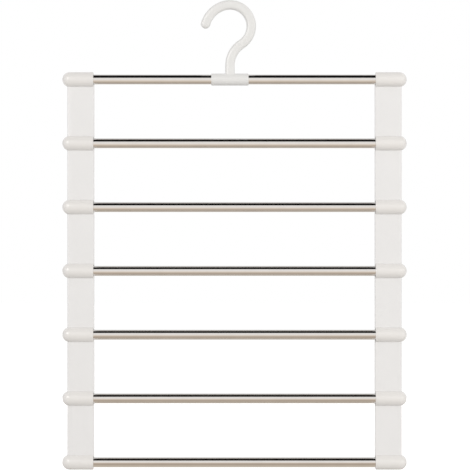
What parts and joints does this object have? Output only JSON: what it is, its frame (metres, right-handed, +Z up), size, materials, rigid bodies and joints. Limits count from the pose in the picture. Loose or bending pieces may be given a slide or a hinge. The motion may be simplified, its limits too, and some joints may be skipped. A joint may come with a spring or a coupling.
{
  "type": "multi tier trouser hanger",
  "caption": "Wardrobe hanger with a plastic hook on a sliding sleeve and chromed bars one under another between two notched side strips, to hang folded trousers.",
  "frame": {"origin": "underside of the hook's arch at its highest point, where the hanger hangs on a wardrobe pole", "axes": "+Z up, +X to the right along the bars as seen from the front, -Y towards the viewer"},
  "size_m": [0.37, 0.016, 0.5044],
  "materials": {
    "hook_plastic": "white moulding with a soft gloss",
    "strip_plastic": "white moulding with a soft gloss",
    "cap_plastic": "white moulding with a soft gloss",
    "bar_chrome": "bright chromium plate on thin steel tube"
  },
  "bodies": {
    "hook": {"hook": "hook_plastic"},
    "top_bar": {"rod_1": "bar_chrome"},
    "ladder": {"rod_2": "bar_chrome", "rod_3": "bar_chrome", "rod_4": "bar_chrome", "rod_5": "bar_chrome", "rod_6": "bar_chrome", "rod_7": "bar_chrome", "strip_left": "strip_plastic", "strip_right": "strip_plastic", "cap_left_1": "cap_plastic", "cap_left_2": "cap_plastic", "cap_left_3": "cap_plastic", "cap_left_4": "cap_plastic", "cap_left_5": "cap_plastic", "cap_left_6": "cap_plastic", "cap_left_7": "cap_plastic", "cap_right_1": "cap_plastic", "cap_right_2": "cap_plastic", "cap_right_3": "cap_plastic", "cap_right_4": "cap_plastic", "cap_right_5": "cap_plastic", "cap_right_6": "cap_plastic", "cap_right_7": "cap_plastic"}
  },
  "joints": [
    {"name": "sleeve_slide", "type": "slide", "parent": "hook", "child": "top_bar", "axis": [1, 0, 0], "range_m": [-0.135, 0.1252]},
    {"name": "ladder_swing", "type": "hinge", "parent": "top_bar", "child": "ladder", "pos_m": [0.0049, 0, -0.0751], "axis": [1, 0, 0], "range_deg": [-165, 165]}
  ]
}
